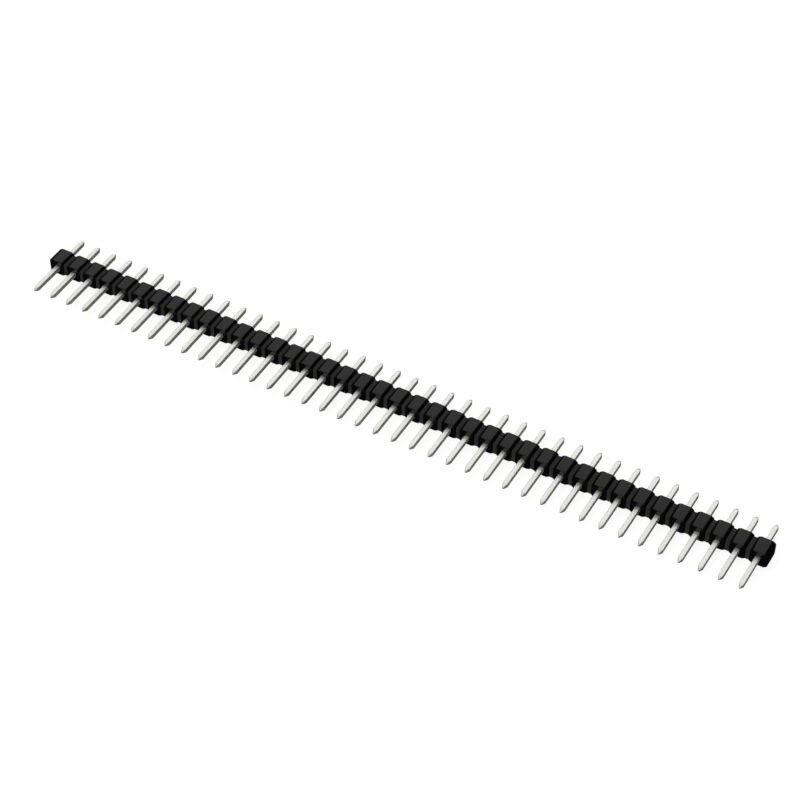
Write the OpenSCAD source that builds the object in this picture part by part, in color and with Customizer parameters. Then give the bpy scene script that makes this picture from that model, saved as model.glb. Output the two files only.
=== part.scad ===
// Straight single-row pin header strip, lying on its side as it rests on a table.
// X runs along the row, -Y is the side of the long contact posts, +Y is the side of the
// short solder tails and Z is up. The origin is under the middle of the row, on the table.

/* [Row] */
// Number of pins in the row
pin_count = 40; // [2:1:50]
// Distance from the centre of one pin to the next
pitch = 2.54; // [2.4:0.02:3.2]

/* [Housing] */
// Width of the plastic across the row, which is its height above the table
housing_width = 2.3; // [1.9:0.05:3]
// Height of the plastic along the pins
housing_height = 2.5; // [1.5:0.05:5]
// Plastic beyond the centre of the first and of the last pin
end_length = 1.25; // [0.9:0.05:2]
// Width of the break-off notch between two blocks
notch_width = 0.38; // [0.2:0.02:0.6]
// How far a block's corner bevel runs along the row
corner_run = 0.42; // [0.1:0.02:0.5]
// How far a block's corner bevel drops towards the pins
corner_drop = 0.28; // [0.1:0.02:0.6]
// Thickness across the row of the web that joins two blocks
web_width = 1.78; // [0.8:0.02:1.88]
// How far the web stands back from the face that the posts leave
web_post_recess = 0.04; // [0.02:0.02:0.5]
// How far the web stands back from the face that the tails leave, the board's side
web_tail_recess = 0.2; // [0.02:0.02:0.5]
// Bevel round the mouth of each pin hole
mouth_bevel = 0.06; // [0.02:0.01:0.12]

/* [Pins] */
// Side of the square pin wire
pin_width = 0.64; // [0.4:0.02:0.8]
// Length of a contact post outside the plastic
post_length = 5.1; // [2:0.1:12]
// Length of a solder tail outside the plastic
tail_length = 3.4; // [2:0.1:6]
// Length of the taper at the end of a contact post
post_taper = 0.6; // [0.2:0.05:1]
// Length of the taper at the end of a solder tail
tail_taper = 0.5; // [0.2:0.05:1]
// Side of the small square flat at the end of each taper
tip_width = 0.2; // [0.1:0.02:0.38]

/* [Pin grip] */
// How far each flank of the pin is coined out inside the plastic
grip_swell = 0.05; // [0.02:0.01:0.1]
// Length of the coined stretch at its full swell
grip_length = 0.7; // [0.3:0.05:0.8]
// Length of the slope at each end of the coined stretch
grip_slope = 0.2; // [0.05:0.05:0.25]

/* [Hidden] */
pin_length = post_length + housing_height + tail_length;
post_end = -pin_length / 2;
post_face = post_end + post_length;
tail_face = post_face + housing_height;
tail_end = pin_length / 2;
housing_middle = (post_face + tail_face) / 2;
row_span = (pin_count - 1) * pitch;
axis_height = housing_width / 2;
block_reach = (pitch - notch_width) / 2;
plastic_color = "#1b1c20";
plating_color = "#d2d1c8";

function pin_x(i) = (i - 1) * pitch - row_span / 2;
function pin_name(i) = str("pin_", i < 10 ? "0" : "", i);

// Side outline of a pin with a taper at both ends. swell widens the stretch that the
// plastic grips, and is 0 for the outline seen along the other flanks.
module pin_outline(swell) {
    side = pin_width / 2;
    tip = tip_width / 2;
    grip = side + swell;
    flat_end = grip_length / 2;
    slope_end = flat_end + grip_slope;
    right_side = [
        [tip, post_end],
        [side, post_end + post_taper],
        [side, housing_middle - slope_end],
        [grip, housing_middle - flat_end],
        [grip, housing_middle + flat_end],
        [side, housing_middle + slope_end],
        [side, tail_end - tail_taper],
        [tip, tail_end]
    ];
    left_side = [for (k = [len(right_side) - 1 : -1 : 0]) [-right_side[k][0], right_side[k][1]]];
    polygon(concat(right_side, left_side));
}

// One square pin on the Y axis: the outline seen from above crossed with the one seen
// from the side, so that each taper is a pyramid with its point cut off.
module pin_shape() {
    reach = pin_width + 2 * grip_swell;
    intersection() {
        linear_extrude(reach, center = true) pin_outline(grip_swell);
        rotate([0, 90, 0]) linear_extrude(reach, center = true) pin_outline(0);
    }
}

// Wedge that bevels a pin hole's mouth, seen from one side: it is as wide as the hole
// at its inner end and one bevel wider all round at the face of the plastic.
module mouth_outline() {
    side = pin_width / 2;
    polygon([
        [-side - mouth_bevel, 0],
        [side + mouth_bevel, 0],
        [side, mouth_bevel],
        [-side, mouth_bevel]
    ]);
}

module mouth_shape() {
    reach = pin_width + 4 * mouth_bevel;
    intersection() {
        linear_extrude(reach, center = true) mouth_outline();
        rotate([0, 90, 0]) linear_extrude(reach, center = true) mouth_outline();
    }
}

// One block of the housing round the Y axis: an octagon that reaches left_reach and
// right_reach from the pin, drawn along the pin from face to face.
module block(left_reach, right_reach) {
    top = housing_width / 2;
    shoulder = top - corner_drop;
    translate([0, tail_face, 0])
        rotate([90, 0, 0])
            linear_extrude(housing_height)
                polygon([
                    [-left_reach, -shoulder],
                    [-left_reach + corner_run, -top],
                    [right_reach - corner_run, -top],
                    [right_reach, -shoulder],
                    [right_reach, shoulder],
                    [right_reach - corner_run, top],
                    [-left_reach + corner_run, top],
                    [-left_reach, shoulder]
                ]);
}

// The webs between the blocks are one bar that runs through every block.
module web_bar() {
    web_start = post_face + web_post_recess;
    web_end = tail_face - web_tail_recess;
    translate([-row_span / 2, web_start, -web_width / 2])
        cube([row_span, web_end - web_start, web_width]);
}

module housing() {
    color(plastic_color)
        translate([0, 0, axis_height])
            difference() {
                union() {
                    for (i = [1 : pin_count])
                        translate([pin_x(i), 0, 0])
                            block(
                                i == 1 ? end_length : block_reach,
                                i == pin_count ? end_length : block_reach
                            );
                    web_bar();
                }
                for (i = [1 : pin_count])
                    translate([pin_x(i), 0, 0]) {
                        pin_shape();
                        translate([0, post_face, 0]) mouth_shape();
                        translate([0, tail_face, 0]) mirror([0, 1, 0]) mouth_shape();
                    }
            }
}

module pin(i) {
    color(plating_color)
        translate([pin_x(i), 0, axis_height])
            pin_shape();
}

housing();
for (i = [1 : pin_count])
    pin(i);
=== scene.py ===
import random
from math import cos, radians, sin

import bmesh
import bpy
from mathutils import Matrix, Vector


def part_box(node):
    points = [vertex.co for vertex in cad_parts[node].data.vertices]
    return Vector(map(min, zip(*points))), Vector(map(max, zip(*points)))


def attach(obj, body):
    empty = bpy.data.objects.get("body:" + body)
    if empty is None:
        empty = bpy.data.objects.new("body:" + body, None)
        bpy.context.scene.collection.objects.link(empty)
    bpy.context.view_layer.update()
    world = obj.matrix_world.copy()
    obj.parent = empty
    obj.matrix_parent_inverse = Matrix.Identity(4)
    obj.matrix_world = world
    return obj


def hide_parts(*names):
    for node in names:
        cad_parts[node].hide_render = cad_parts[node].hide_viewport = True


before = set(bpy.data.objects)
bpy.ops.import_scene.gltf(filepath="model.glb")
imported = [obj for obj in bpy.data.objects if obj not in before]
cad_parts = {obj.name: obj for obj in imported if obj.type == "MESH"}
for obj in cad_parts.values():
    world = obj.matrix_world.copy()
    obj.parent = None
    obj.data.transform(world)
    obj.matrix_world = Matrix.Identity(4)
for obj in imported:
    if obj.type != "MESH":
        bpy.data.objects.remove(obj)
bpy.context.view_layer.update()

# ---- Camera ----------------------------------------------------------------------------
# A long lens on a stand, in front of the row and above it, turned so that the row runs
# away from the last pin at the lower right to the first pin at the upper left.
camera_turn = radians(30)
camera_lift = radians(45.8)
camera_distance = 0.2704
camera_lens = 99
camera_sensor = 36
camera_near = 0.01
camera_far = 20
aim_right = 0.00162
aim_up = 0.00025

to_camera = Vector((
    sin(camera_turn) * cos(camera_lift),
    -cos(camera_turn) * cos(camera_lift),
    sin(camera_lift),
))
camera_right = Vector((cos(camera_turn), sin(camera_turn), 0))
camera_up = to_camera.cross(camera_right)
pin_low, pin_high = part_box("pin_01")
axis_height = (pin_low.z + pin_high.z) / 2
aim = Vector((0, 0, axis_height)) + camera_right * aim_right + camera_up * aim_up

camera = bpy.data.objects.new("camera", bpy.data.cameras.new("camera"))
camera.data.lens = camera_lens
camera.data.sensor_width = camera_sensor
camera.data.clip_start = camera_near
camera.data.clip_end = camera_far
camera.location = aim + to_camera * camera_distance
camera.rotation_mode = "QUATERNION"
camera.rotation_quaternion = (-to_camera).to_track_quat("-Z", "Y")
bpy.context.scene.collection.objects.link(camera)
bpy.context.scene.camera = camera


# ---- Studio ----------------------------------------------------------------------------
# A white table under one long soft panel, hung from above the camera to the backdrop. What
# faces up mirrors the panel and turns pale, and what faces sideways mirrors the dark room.
# The table is hidden from mirrors, and a patch low and behind at the left stands in for it.
def linear(hex_colour):
    """An sRGB hex colour as the linear values that a socket takes."""
    channels = [int(hex_colour[k:k + 2], 16) / 255 for k in (1, 3, 5)]
    levels = [c / 12.92 if c <= 0.04045 else ((c + 0.055) / 1.055) ** 2.4 for c in channels]
    return (*levels, 1)


def add_node(tree, kind, settings=None, links=None):
    """Adds a node. A setting is a property or an unlinked input, a link feeds an input."""
    node = tree.nodes.new(kind)
    for name, value in (settings or {}).items():
        if isinstance(name, int) or name in node.inputs:
            node.inputs[name].default_value = value
        else:
            setattr(node, name, value)
    for name, output in (links or {}).items():
        tree.links.new(output, node.inputs[name])
    return node


panel_light = 1.1
wall_light = 0.05
floor_light = 0.012
patch_light = 0.9
backdrop_light = 0.98
camera_side = 0.9

# Edges in the surroundings are the X, Y or Z of a unit vector that points at them. Each soft
# one has a pair: where it is still dark, and where it is fully bright.
panel_middle = -0.28
panel_inner = 0.34
panel_outer = 0.44
panel_front = (-0.5, -0.3)
panel_foot = (-0.02, 0.06)
patch_left = (-0.35, -0.55)
patch_back = (0.05, 0.3)
patch_low = (-0.28, -0.48)

world = bpy.data.worlds.new("soft_panel")
world.use_nodes = True
bpy.context.scene.world = world
sky = world.node_tree
sky.nodes.clear()
direction = add_node(sky, "ShaderNodeTexCoord")
ways = add_node(sky, "ShaderNodeSeparateXYZ", links={0: direction.outputs["Generated"]})
off_middle = add_node(
    sky, "ShaderNodeMath", {"operation": "SUBTRACT", 1: panel_middle}, {0: ways.outputs["X"]},
)
sideways = add_node(
    sky, "ShaderNodeMath", {"operation": "ABSOLUTE"}, {0: off_middle.outputs[0]},
)


def soft_edge(value, dark_at, bright_at, dark=0.0):
    """A smooth step from dark, where the value is dark_at, to 1, where it is bright_at."""
    return add_node(
        sky, "ShaderNodeMapRange",
        {"interpolation_type": "SMOOTHSTEP", "From Min": dark_at, "From Max": bright_at,
         "To Min": dark},
        {"Value": value},
    ).outputs[0]


across = soft_edge(sideways.outputs[0], panel_outer, panel_inner)
towards_back = soft_edge(ways.outputs["Y"], *panel_front, dark=camera_side)
above_table = soft_edge(ways.outputs["Z"], *panel_foot)
panel = add_node(sky, "ShaderNodeMath", {"operation": "MULTIPLY"}, {0: across, 1: towards_back})
room = add_node(
    sky, "ShaderNodeMapRange", {"To Min": wall_light, "To Max": panel_light},
    {"Value": panel.outputs[0]},
)
upper_light = add_node(
    sky, "ShaderNodeMath", {"operation": "MULTIPLY_ADD", 2: floor_light},
    {0: above_table, 1: room.outputs[0]},
)
to_left = soft_edge(ways.outputs["X"], *patch_left)
to_back = soft_edge(ways.outputs["Y"], *patch_back)
below = soft_edge(ways.outputs["Z"], *patch_low)
left_and_back = add_node(
    sky, "ShaderNodeMath", {"operation": "MULTIPLY"}, {0: to_left, 1: to_back},
)
patch = add_node(
    sky, "ShaderNodeMath", {"operation": "MULTIPLY"}, {0: left_and_back.outputs[0], 1: below},
)
light = add_node(
    sky, "ShaderNodeMath", {"operation": "MULTIPLY_ADD", 1: patch_light},
    {0: patch.outputs[0], 2: upper_light.outputs[0]},
)
glow = add_node(sky, "ShaderNodeBackground", links={"Strength": light.outputs[0]})
glow.inputs["Color"].default_value = linear("#ffffff")
backdrop = add_node(sky, "ShaderNodeBackground", {"Strength": backdrop_light})
backdrop.inputs["Color"].default_value = linear("#ffffff")
rays = add_node(sky, "ShaderNodeLightPath")
both = add_node(
    sky, "ShaderNodeMixShader",
    links={0: rays.outputs["Is Camera Ray"], 1: glow.outputs[0], 2: backdrop.outputs[0]},
)
add_node(sky, "ShaderNodeOutputWorld", links={"Surface": both.outputs[0]})

table_size = 30
table_glow = 0.875
table_white = "#969696"

bpy.ops.mesh.primitive_plane_add(size=table_size, location=(0, 0, 0))
table = bpy.context.object
table.name = "table"
table.visible_glossy = False
white_board = bpy.data.materials.new("white_board")
white_board.use_nodes = True
board = white_board.node_tree.nodes["Principled BSDF"]
board.inputs["Base Color"].default_value = linear(table_white)
board.inputs["Roughness"].default_value = 0.9
board.inputs["Specular IOR Level"].default_value = 0.0
board.inputs["Emission Color"].default_value = linear("#ffffff")
board.inputs["Emission Strength"].default_value = table_glow
table.data.materials.append(white_board)

bpy.context.scene.view_settings.view_transform = "Standard"

# ---- Housing ---------------------------------------------------------------------------
# One strip of black glass-filled polyester, injection moulded: forty octagonal blocks and
# the thin webs between them, which are made to be snapped. The pins are pressed through it.
MM = 0.001  # pieces are modelled in millimetres, and a finished mesh is scaled by this
pin_nodes = sorted(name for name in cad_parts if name.startswith("pin_"))


def middle_x(node):
    """Where the middle of a node lies along the row, in millimetres."""
    low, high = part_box(node)
    return (low.x + high.x) / 2 / MM


pin_places = [middle_x(name) for name in pin_nodes]
pitch = pin_places[1] - pin_places[0]
housing_low, housing_high = (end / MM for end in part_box("housing"))
housing_height = housing_high.y - housing_low.y
housing_width = housing_high.z - housing_low.z
housing_middle = (housing_low.y + housing_high.y) / 2
end_length = housing_high.x - pin_places[-1]

notch_width = 0.38
corner_run = 0.42
corner_drop = 0.28
web_width = 1.78
web_post_recess = 0.04
web_tail_recess = 0.2
pin_width = 0.64
mouth_bevel = 0.06
block_edge = 0.14
web_edge = 0.12
edge_steps = 3
hole_ease = 0.004  # gap on each side of the wire, so that no two faces coincide
hole_overrun = 0.3
square_on = 0.9  # least part of a face's normal that looks along the pin
shortest_ridge = 0.1
on_plane = 1e-4
cut_tolerance = 1e-5
weld_gap = 0.0005
side_margin = 0.01
smooth_angle = radians(35)
flat_weight = 90  # how far large faces rule the shading of the edges beside them


def add_box(name, low, high):
    """A box primitive between two corners, in millimetres, selected and active."""
    bpy.ops.object.select_all(action="DESELECT")
    size = Vector(high) - Vector(low)
    middle = (Vector(high) + Vector(low)) / 2
    bpy.ops.mesh.primitive_cube_add(size=1, location=middle, scale=size)
    piece = bpy.context.object
    piece.name = name
    bpy.ops.object.transform_apply(location=True, rotation=True, scale=True)
    return piece


def edit(piece):
    """Opens a piece in edit mode with nothing selected."""
    bpy.ops.object.select_all(action="DESELECT")
    bpy.context.view_layer.objects.active = piece
    piece.select_set(True)
    bpy.ops.object.mode_set(mode="EDIT")
    bpy.ops.mesh.select_mode(type="FACE")
    bpy.ops.mesh.select_all(action="DESELECT")


def pick_faces(test):
    """Selects the faces that pass the test, in the piece that is open in edit mode."""
    data = bpy.context.object.data
    faces = bmesh.from_edit_mesh(data).faces
    for face in faces:
        face.select_set(test(face))
    bmesh.update_edit_mesh(data)


def pick_edges(test):
    """Selects the edges that pass the test, in the piece that is open in edit mode."""
    bpy.ops.mesh.select_mode(type="EDGE")
    bpy.ops.mesh.select_all(action="DESELECT")
    data = bpy.context.object.data
    for edge in bmesh.from_edit_mesh(data).edges:
        edge.select_set(test(edge))
    bmesh.update_edit_mesh(data)


def close_edit():
    """Leaves edit mode."""
    bpy.ops.object.mode_set(mode="OBJECT")


def extrude_to(shift, scale, centre):
    """Extrudes the selected face by shift and then scales it about the given centre."""
    bpy.ops.mesh.extrude_region_move(TRANSFORM_OT_translate={"value": shift})
    bpy.ops.transform.resize(value=scale, center_override=centre)


def apply_modifier(piece, kind, **settings):
    """Gives a piece a modifier with these settings and applies it."""
    bpy.ops.object.select_all(action="DESELECT")
    bpy.context.view_layer.objects.active = piece
    piece.select_set(True)
    modifier = piece.modifiers.new(kind.lower(), kind)
    for name, value in settings.items():
        setattr(modifier, name, value)
    bpy.ops.object.modifier_apply(modifier=modifier.name)


def hole_cutter():
    """The square pin hole as a solid, a little flared at both faces of the plastic."""
    side = pin_width / 2 + hole_ease
    flare = 1 + mouth_bevel / side
    half = housing_height / 2
    cutter = add_box(
        "hole_cutter",
        (-side, housing_middle - half + mouth_bevel, -side),
        (side, housing_middle + half - mouth_bevel, side),
    )
    edit(cutter)
    for way in (-1, 1):
        pick_faces(lambda face: face.normal.y * way > square_on)
        face_y = housing_middle + way * half
        extrude_to((0, way * mouth_bevel, 0), (flare, 1, flare), (0, face_y, 0))
        extrude_to((0, way * hole_overrun, 0), (1, 1, 1), (0, face_y, 0))
    close_edit()
    return cutter


def mould_block(left_reach, right_reach, left_web, right_web):
    """One block round its pin, with half a web on each side that has a neighbour. The half
    webs are left open where they meet, so that the blocks weld into one shell."""
    top = housing_width / 2
    half = housing_height / 2
    block = add_box(
        "block",
        (-left_reach, housing_middle - half, -top),
        (right_reach, housing_middle + half, top),
    )
    edit(block)
    for way, reach in ((-1, left_reach), (1, right_reach)):
        for rise in (-1, 1):
            bpy.ops.mesh.select_all(action="SELECT")
            bpy.ops.mesh.bisect(
                plane_co=(way * reach, 0, rise * (top - corner_drop)),
                plane_no=(way * corner_drop, 0, rise * corner_run),
                use_fill=True, clear_outer=True, threshold=cut_tolerance,
            )
    bpy.ops.mesh.select_all(action="SELECT")
    bpy.ops.mesh.bevel(offset=block_edge, segments=edge_steps, affect="EDGES", profile=0.5)
    close_edit()

    left_end = pitch / 2 if left_web else 0
    right_end = pitch / 2 if right_web else 0
    web = add_box(
        "web",
        (-left_end, housing_middle - half + web_post_recess, -web_width / 2),
        (right_end, housing_middle + half - web_tail_recess, web_width / 2),
    )
    edit(web)
    pick_edges(lambda edge: abs((edge.verts[0].co - edge.verts[1].co).x) > shortest_ridge)
    bpy.ops.mesh.bevel(offset=web_edge, segments=edge_steps, affect="EDGES", profile=0.5)
    close_edit()
    cutter = hole_cutter()
    apply_modifier(block, "BOOLEAN", operation="UNION", object=web, solver="EXACT")
    apply_modifier(block, "BOOLEAN", operation="DIFFERENCE", object=cutter, solver="EXACT")
    bpy.data.objects.remove(web)
    bpy.data.objects.remove(cutter)

    edit(block)
    pick_faces(lambda face: abs(abs(face.calc_center_median().x) - pitch / 2) < on_plane)
    bpy.ops.mesh.delete(type="FACE")
    close_edit()
    return block


def move_mesh(piece, matrix):
    """Moves a piece within its mesh, so that its object stays at the origin."""
    piece.data.transform(matrix)
    piece.data.update()


block_reach = (pitch - notch_width) / 2
flat_reach = block_reach - corner_run
first_block = mould_block(end_length, block_reach, False, True)
middle_blocks = mould_block(block_reach, block_reach, True, True)
last_block = mould_block(block_reach, end_length, True, False)
move_mesh(first_block, Matrix.Translation((pin_places[0], 0, 0)))
move_mesh(middle_blocks, Matrix.Translation((pin_places[1], 0, 0)))
move_mesh(last_block, Matrix.Translation((pin_places[-1], 0, 0)))
apply_modifier(
    middle_blocks, "ARRAY",
    count=len(pin_places) - 2, use_relative_offset=False, use_constant_offset=True,
    constant_offset_displace=(pitch, 0, 0), use_merge_vertices=True, merge_threshold=weld_gap,
)
bpy.ops.object.select_all(action="DESELECT")
for part in (first_block, middle_blocks, last_block):
    part.select_set(True)
bpy.context.view_layer.objects.active = middle_blocks
bpy.ops.object.join()
strip = bpy.context.object
strip.name = "moulded_strip"
edit(strip)
bpy.ops.mesh.select_all(action="SELECT")
bpy.ops.mesh.remove_doubles(threshold=weld_gap)
bpy.ops.mesh.normals_make_consistent(inside=False)
close_edit()
move_mesh(strip, Matrix.Translation((0, 0, axis_height)) @ Matrix.Scale(MM, 4))


mottle_size = 0.9
grain_size = 0.09
grain_depth = 0.006


def polyester(name, darkest, lightest, smoothest, roughest, shine):
    """Glass-filled polyester from a steel mould: near black, with a slightly uneven gloss.
    Shine is the specular level, and 0.5 is what a polished face has. A lower shine dims
    the reflections, and so paints shade."""
    material = bpy.data.materials.new(name)
    material.use_nodes = True
    tree = material.node_tree
    shader = tree.nodes["Principled BSDF"]
    place = add_node(tree, "ShaderNodeTexCoord").outputs["Object"]
    mottle = add_node(
        tree, "ShaderNodeTexNoise",
        {"Scale": 1 / (mottle_size * MM), "Detail": 3.0, "Roughness": 0.6},
        {"Vector": place},
    )
    grain = add_node(
        tree, "ShaderNodeTexNoise",
        {"Scale": 1 / (grain_size * MM), "Detail": 2.0, "Roughness": 0.5},
        {"Vector": place},
    )
    # a Mix node of colours takes them at inputs 6 and 7, and gives the blend at output 2
    tone = add_node(
        tree, "ShaderNodeMix", {"data_type": "RGBA"}, {"Factor": mottle.outputs["Fac"]},
    )
    tone.inputs[6].default_value = linear(darkest)
    tone.inputs[7].default_value = linear(lightest)
    tree.links.new(tone.outputs[2], shader.inputs["Base Color"])
    rough = add_node(
        tree, "ShaderNodeMapRange", {"To Min": smoothest, "To Max": roughest},
        {"Value": mottle.outputs["Fac"]},
    )
    tree.links.new(rough.outputs[0], shader.inputs["Roughness"])
    bump = add_node(
        tree, "ShaderNodeBump", {"Strength": 0.12, "Distance": grain_depth * MM},
        {"Height": grain.outputs["Fac"]},
    )
    tree.links.new(bump.outputs[0], shader.inputs["Normal"])
    shader.inputs["IOR"].default_value = 1.34
    shader.inputs["Specular IOR Level"].default_value = shine
    return material


def from_pin(face):
    """How far the middle of a face lies from the nearest pin along the row, in millimetres."""
    pins_along = (face.calc_center_median().x / MM - pin_places[0]) / pitch
    return abs(pins_along - round(pins_along)) * pitch


def on_web(face):
    """True between two blocks, and not at the ends of the row."""
    row_end = abs(face.calc_center_median().x) / MM > pin_places[-1]
    return from_pin(face) > block_reach + side_margin and not row_end


def give_finish(piece, material, test):
    """Gives a material to the faces of a piece that pass the test."""
    piece.data.materials.append(material)
    edit(piece)
    pick_faces(test)
    piece.active_material_index = len(piece.data.materials) - 1
    bpy.ops.object.material_slot_assign()
    close_edit()


# The flat faces are polished. Bevels, flanks and ends get the same black with a weaker
# reflection, which paints shade on them. The webs, whose part of the mould is spark eroded,
# come out satin; their greyer colour is a painted sheen, and their weaker reflection is
# painted shade.
polished = polyester(
    "polished_polyester", darkest="#070709", lightest="#0c0c0f",
    smoothest=0.13, roughest=0.21, shine=0.5,
)
# Bevels, flanks and ends: the polished black with a weaker reflection, which paints shade.
painted_shade_polyester = polyester(
    "polyester_painted_shade", darkest="#070709", lightest="#0c0c0f",
    smoothest=0.13, roughest=0.21, shine=0.15,
)
# The webs: satin roughness from the spark eroded mould, a grey colour that paints the sheen of
# light on them, and a weaker reflection that paints shade on their tops.
satin_with_painted_sheen = polyester(
    "satin_polyester_painted_sheen", darkest="#30312f", lightest="#343533",
    smoothest=0.57, roughest=0.63, shine=0.15,
)
strip.data.materials.clear()
strip.data.materials.append(polished)
# painted shade: bevels, flanks and ends take the weakly reflecting copy
give_finish(strip, painted_shade_polyester, lambda face: from_pin(face) > flat_reach)
# painted sheen and shade: the webs take the grey satin copy
give_finish(strip, satin_with_painted_sheen, on_web)
bpy.ops.object.shade_smooth_by_angle(angle=smooth_angle)
apply_modifier(strip, "WEIGHTED_NORMAL", keep_sharp=True, weight=flat_weight)
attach(strip, "root")
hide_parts("housing")

# ---- Pins ------------------------------------------------------------------------------
# Forty lengths of square brass wire, drawn, tin plated and cropped, with a coined point at
# both ends and a coined swell in the middle that grips the plastic it is pressed through.
pin_shift = 0.02  # a pin's slip along its hole. Its ends stop this short, to stay in its box
pin_end_low = pin_low.y / MM + pin_shift
pin_end_high = pin_high.y / MM - pin_shift
post_taper = 0.6
tail_taper = 0.5
tip_width = 0.2
grip_width = (pin_high.x - pin_low.x) / MM
grip_length = 0.7
grip_slope = 0.2
wire_edge = 0.09
wire_edge_angle = radians(40)
pin_lean = radians(0.25)
pin_seed = 40
line_width = 0.06  # drawing lines are a few microns wide, and are drawn this wide to show
line_length = 4
line_depth = 0.004
smoothest_tin = 0.4
roughest_tin = 0.5
cloud_size = 1.4
point_worn_to = 0.3
point_bright_from = 0.45


def draw_pin():
    """One pin on the Y axis, drawn out station by station from the post's point."""
    stations = [
        (pin_end_low + post_taper, pin_width, pin_width),
        (housing_middle - grip_length / 2 - grip_slope, pin_width, pin_width),
        (housing_middle - grip_length / 2, grip_width, pin_width),
        (housing_middle + grip_length / 2, grip_width, pin_width),
        (housing_middle + grip_length / 2 + grip_slope, pin_width, pin_width),
        (pin_end_high - tail_taper, pin_width, pin_width),
        (pin_end_high, tip_width, tip_width),
    ]
    half_tip = tip_width / 2
    first_y = stations[0][0]
    wire = add_box("wire", (-half_tip, pin_end_low, -half_tip), (half_tip, first_y, half_tip))
    edit(wire)
    pick_faces(lambda face: face.normal.y > square_on)
    grow = pin_width / tip_width
    bpy.ops.transform.resize(value=(grow, 1, grow), center_override=(0, first_y, 0))
    for before, after in zip(stations, stations[1:]):
        extrude_to(
            (0, after[0] - before[0], 0),
            (after[1] / before[1], 1, after[2] / before[2]),
            (0, after[0], 0),
        )
    close_edit()
    apply_modifier(
        wire, "BEVEL", width=wire_edge, segments=edge_steps, limit_method="ANGLE",
        angle_limit=wire_edge_angle, harden_normals=True, use_clamp_overlap=False,
    )
    return wire


def tin_plate():
    """Matt tin over drawn brass: bright, warm grey, with faint drawing lines along the wire.
    The points are a shade darker, because coining and cropping wear the tin there."""
    material = bpy.data.materials.new("matt_tin_plate")
    material.use_nodes = True
    tree = material.node_tree
    shader = tree.nodes["Principled BSDF"]
    place = add_node(tree, "ShaderNodeTexCoord").outputs["Object"]
    axes = add_node(tree, "ShaderNodeSeparateXYZ", links={0: place})
    across_lines = 1 / (line_width * MM)
    along_lines = 1 / (line_length * MM)
    stretched = add_node(
        tree, "ShaderNodeMapping", {"Scale": (across_lines, along_lines, across_lines)},
        {"Vector": place},
    )
    lines = add_node(
        tree, "ShaderNodeTexNoise", {"Scale": 1.0, "Detail": 3.0, "Roughness": 0.6},
        {"Vector": stretched.outputs[0]},
    )
    cloud = add_node(
        tree, "ShaderNodeTexNoise", {"Scale": 1 / (cloud_size * MM), "Detail": 3.0},
        {"Vector": place},
    )
    middle = (pin_end_low + pin_end_high) / 2 * MM
    from_middle = add_node(
        tree, "ShaderNodeMath", {"operation": "SUBTRACT", 1: middle}, {0: axes.outputs["Y"]},
    )
    reach = add_node(
        tree, "ShaderNodeMath", {"operation": "ABSOLUTE"}, {0: from_middle.outputs[0]},
    )
    half = (pin_end_high - pin_end_low) / 2
    point = add_node(
        tree, "ShaderNodeMapRange",
        {"From Min": (half - point_bright_from) * MM, "From Max": (half - point_worn_to) * MM},
        {"Value": reach.outputs[0]},
    )
    plate = add_node(
        tree, "ShaderNodeMix", {"data_type": "RGBA"}, {"Factor": cloud.outputs["Fac"]},
    )
    plate.inputs[6].default_value = linear("#f2f2ea")
    plate.inputs[7].default_value = linear("#fafaf4")
    tone = add_node(
        tree, "ShaderNodeMix", {"data_type": "RGBA"},
        {"Factor": point.outputs[0], 6: plate.outputs[2]},
    )
    tone.inputs[7].default_value = linear("#e8e7df")
    tree.links.new(tone.outputs[2], shader.inputs["Base Color"])
    shader.inputs["Metallic"].default_value = 0.8
    rough = add_node(
        tree, "ShaderNodeMapRange", {"To Min": smoothest_tin, "To Max": roughest_tin},
        {"Value": lines.outputs["Fac"]},
    )
    tree.links.new(rough.outputs[0], shader.inputs["Roughness"])
    bump = add_node(
        tree, "ShaderNodeBump", {"Strength": 0.05, "Distance": line_depth * MM},
        {"Height": lines.outputs["Fac"]},
    )
    tree.links.new(bump.outputs[0], shader.inputs["Normal"])
    return material


plain_pin = draw_pin()
plain_pin.data.materials.append(tin_plate())
chance = random.Random(pin_seed)
for name, place_x in zip(pin_nodes, pin_places):
    pin = plain_pin.copy()
    pin.data = plain_pin.data.copy()
    pin.name = "wire_" + name
    bpy.context.scene.collection.objects.link(pin)
    slip = chance.uniform(-pin_shift, pin_shift)
    lean = chance.uniform(-pin_lean, pin_lean)
    nod = chance.uniform(-pin_lean, pin_lean)
    pivot = Matrix.Translation((0, housing_middle, 0))
    turned = (
        pivot @ Matrix.Rotation(lean, 4, "Z") @ Matrix.Rotation(nod, 4, "X")
        @ pivot.inverted()
    )
    place = Matrix.Translation((place_x * MM, slip * MM, axis_height)) @ Matrix.Scale(MM, 4)
    move_mesh(pin, place @ turned)
    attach(pin, "root")
    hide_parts(name)
bpy.data.objects.remove(plain_pin)

# ---- Update ----------------------------------------------------------------------------
bpy.context.view_layer.update()
